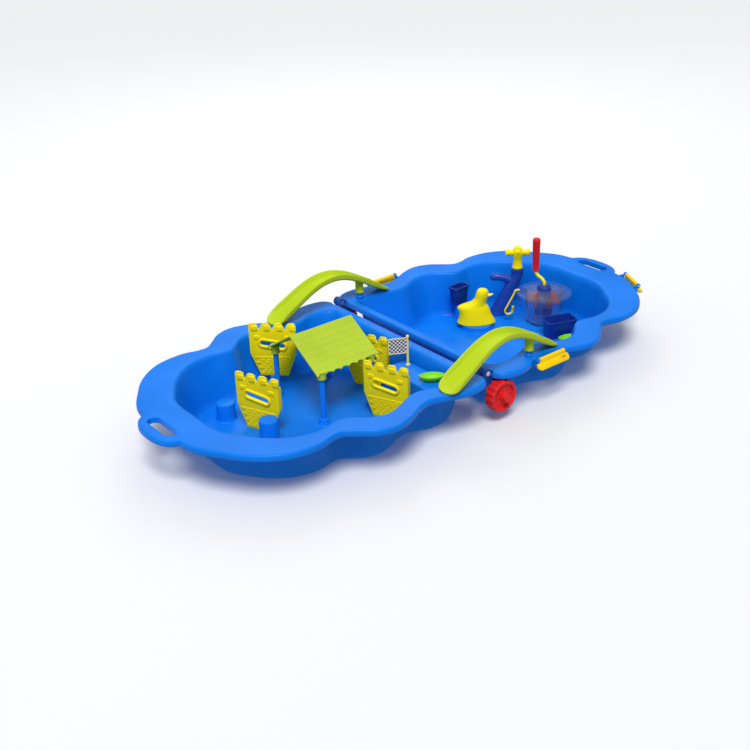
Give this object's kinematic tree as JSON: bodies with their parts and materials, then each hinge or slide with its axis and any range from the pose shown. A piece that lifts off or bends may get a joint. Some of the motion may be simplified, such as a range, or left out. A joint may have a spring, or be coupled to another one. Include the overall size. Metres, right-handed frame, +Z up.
{
  "type": "folding sand and water table",
  "caption": "Two wavy-edged moulded basins hinged edge to edge as a fold-up sand and water play case, with trolley wheels, closing latches, slide bridges, a crank swirl toy and plug-in toys",
  "frame": {"origin": "on the ground plane, on the hinge line between the two basins, at mid width", "axes": "+X towards the swirl toy basin and its carrying loop, +Y across the table away from the end latch, +Z up"},
  "size_m": [1.292, 0.6, 0.213],
  "materials": {
    "basin_plastic": "blow-moulded polyethylene, satin with a fine orange-peel texture",
    "navy_plastic": "injection-moulded, slightly translucent dark blue",
    "hinge_plastic": "injection-moulded dark blue, satin gloss",
    "lime_plastic": "moulded lime green, satin",
    "yellow_plastic": "injection-moulded yellow, satin gloss",
    "amber_plastic": "injection-moulded amber yellow, satin gloss",
    "red_plastic": "injection-moulded red, satin gloss",
    "clear_plastic": "clear moulded polycarbonate",
    "boat_plastic": "bright green injection moulding",
    "flag_plastic": "thin black and white chequered sheet",
    "pole_plastic": "pale yellow moulded rod",
    "tower_plastic": "translucent dark blue moulding",
    "steel": "zinc-plated steel"
  },
  "bodies": {
    "table": {"basin_b": "basin_plastic", "hinge_brackets_b": "hinge_plastic", "hinge_pins": "steel", "bracket_screws_b": "steel", "axle": "steel", "axle_brackets": "hinge_plastic", "axle_caps": "hinge_plastic", "latch_pins": "steel", "tower": "tower_plastic", "swirl_bowl": "clear_plastic", "swirl_cover": "clear_plastic"},
    "folding_basin": {"basin_a": "basin_plastic", "hinge_brackets_a": "hinge_plastic", "bracket_screws_a": "steel", "roof_posts": "basin_plastic", "flag_pole": "pole_plastic"},
    "flag": {"flag_panel": "flag_plastic"},
    "near_wheel": {"wheel_near": "red_plastic"},
    "far_wheel": {"wheel_far": "red_plastic"},
    "end_clasp": {"end_latch": "amber_plastic"},
    "near_clasp": {"side_latch_near": "amber_plastic"},
    "far_clasp": {"side_latch_far": "amber_plastic"},
    "near_bridge": {"bridge_near": "lime_plastic", "bridge_post_near": "basin_plastic"},
    "far_bridge": {"bridge_far": "lime_plastic", "bridge_post_far": "basin_plastic"},
    "near_left_gate": {"castle_near_left": "yellow_plastic"},
    "far_left_gate": {"castle_far_left": "yellow_plastic"},
    "near_right_gate": {"castle_near_right": "yellow_plastic"},
    "far_right_gate": {"castle_far_right": "yellow_plastic"},
    "roof_body": {"roof": "lime_plastic"},
    "duck_mould": {"duck": "yellow_plastic"},
    "sprinkler": {"tower_head": "yellow_plastic"},
    "hook_body": {"hook": "yellow_plastic"},
    "rotor": {"rotor_hub": "navy_plastic", "rotor_paddles": "red_plastic", "crank_rod": "yellow_plastic"},
    "grip": {"crank_grip": "red_plastic"},
    "left_box": {"box_left": "navy_plastic"},
    "right_box": {"box_right": "navy_plastic"},
    "boat_one": {"boat_a": "boat_plastic"},
    "boat_two": {"boat_b": "boat_plastic"},
    "boat_three": {"boat_c": "boat_plastic"}
  },
  "joints": [
    {"name": "fold", "type": "hinge", "parent": "table", "child": "folding_basin", "pos_m": [0, 0, 0.1126], "axis": [0, 1, 0], "range_deg": [0, 180]},
    {"name": "near_bridge_stow", "type": "hinge", "parent": "table", "child": "near_bridge", "pos_m": [0.235, -0.3, 0.096], "axis": [0.7071, 0.7071, 0], "range_deg": [0, 180]},
    {"name": "far_bridge_stow", "type": "hinge", "parent": "table", "child": "far_bridge", "pos_m": [0.165, 0.3, 0.096], "axis": [-0.7071, 0.7071, 0], "range_deg": [0, 180]},
    {"name": "near_wheel_spin", "type": "hinge", "parent": "table", "child": "near_wheel", "pos_m": [0.026, -0.27, 0.059], "axis": [0, 1, 0], "continuous": true},
    {"name": "far_wheel_spin", "type": "hinge", "parent": "table", "child": "far_wheel", "pos_m": [0.026, 0.27, 0.059], "axis": [0, 1, 0], "continuous": true},
    {"name": "end_latch_flip", "type": "hinge", "parent": "table", "child": "end_clasp", "pos_m": [0.60515, -0.13058, 0.1126], "axis": [-0.4478, -0.8942, 0], "range_deg": [0, 180]},
    {"name": "near_latch_flip", "type": "hinge", "parent": "table", "child": "near_clasp", "pos_m": [0.16, -0.286, 0.1126], "axis": [-1, 0, 0], "range_deg": [0, 180]},
    {"name": "far_latch_flip", "type": "hinge", "parent": "table", "child": "far_clasp", "pos_m": [0.16, 0.286, 0.1126], "axis": [1, 0, 0], "range_deg": [0, 180]},
    {"name": "crank_turn", "type": "hinge", "parent": "table", "child": "rotor", "pos_m": [0.453, 0.015, 0.06], "axis": [0, 0, 1], "continuous": true},
    {"name": "grip_spin", "type": "hinge", "parent": "rotor", "child": "grip", "pos_m": [0.44906, 0.04171, 0.15], "axis": [0, 0, 1], "continuous": true},
    {"name": "sprinkler_turn", "type": "hinge", "parent": "table", "child": "sprinkler", "pos_m": [0.438, 0.094, 0.13], "axis": [0, 0, 1], "range_deg": [-90, 90]},
    {"name": "flag_turn", "type": "hinge", "parent": "folding_basin", "child": "flag", "pos_m": [-0.056, -0.07, 0.135], "axis": [0, 0, 1], "range_deg": [-60, 60]},
    {"name": "near_left_gate_lift", "type": "slide", "parent": "folding_basin", "child": "near_left_gate", "axis": [0, 0, -1], "range_m": [-0.16, 0]},
    {"name": "far_left_gate_lift", "type": "slide", "parent": "folding_basin", "child": "far_left_gate", "axis": [0, 0, -1], "range_m": [-0.16, 0]},
    {"name": "near_right_gate_lift", "type": "slide", "parent": "folding_basin", "child": "near_right_gate", "axis": [0, 0, -1], "range_m": [-0.16, 0]},
    {"name": "far_right_gate_lift", "type": "slide", "parent": "folding_basin", "child": "far_right_gate", "axis": [0, 0, -1], "range_m": [-0.16, 0]},
    {"name": "roof_lift", "type": "slide", "parent": "folding_basin", "child": "roof_body", "axis": [0, 0, -1], "range_m": [-0.04, 0]},
    {"name": "boat_one_lift", "type": "slide", "parent": "folding_basin", "child": "boat_one", "axis": [0, 0, -1], "range_m": [-0.12, 0]},
    {"name": "boat_three_lift", "type": "slide", "parent": "folding_basin", "child": "boat_three", "axis": [0, 0, -1], "range_m": [-0.12, 0]},
    {"name": "duck_lift", "type": "slide", "parent": "table", "child": "duck_mould", "axis": [0, 0, -1], "range_m": [-0.14, 0]},
    {"name": "hook_lift", "type": "slide", "parent": "table", "child": "hook_body", "axis": [0, 0, -1], "range_m": [-0.12, 0]},
    {"name": "left_box_lift", "type": "slide", "parent": "table", "child": "left_box", "axis": [0, 0, -1], "range_m": [-0.12, 0]},
    {"name": "right_box_lift", "type": "slide", "parent": "table", "child": "right_box", "axis": [0, 0, -1], "range_m": [-0.12, 0]},
    {"name": "boat_two_lift", "type": "slide", "parent": "table", "child": "boat_two", "axis": [0, 0, -1], "range_m": [-0.12, 0]}
  ],
  "couplings": [
    {"joint": "near_bridge_stow", "follows": "fold", "ratio": 1},
    {"joint": "far_bridge_stow", "follows": "fold", "ratio": 1}
  ]
}
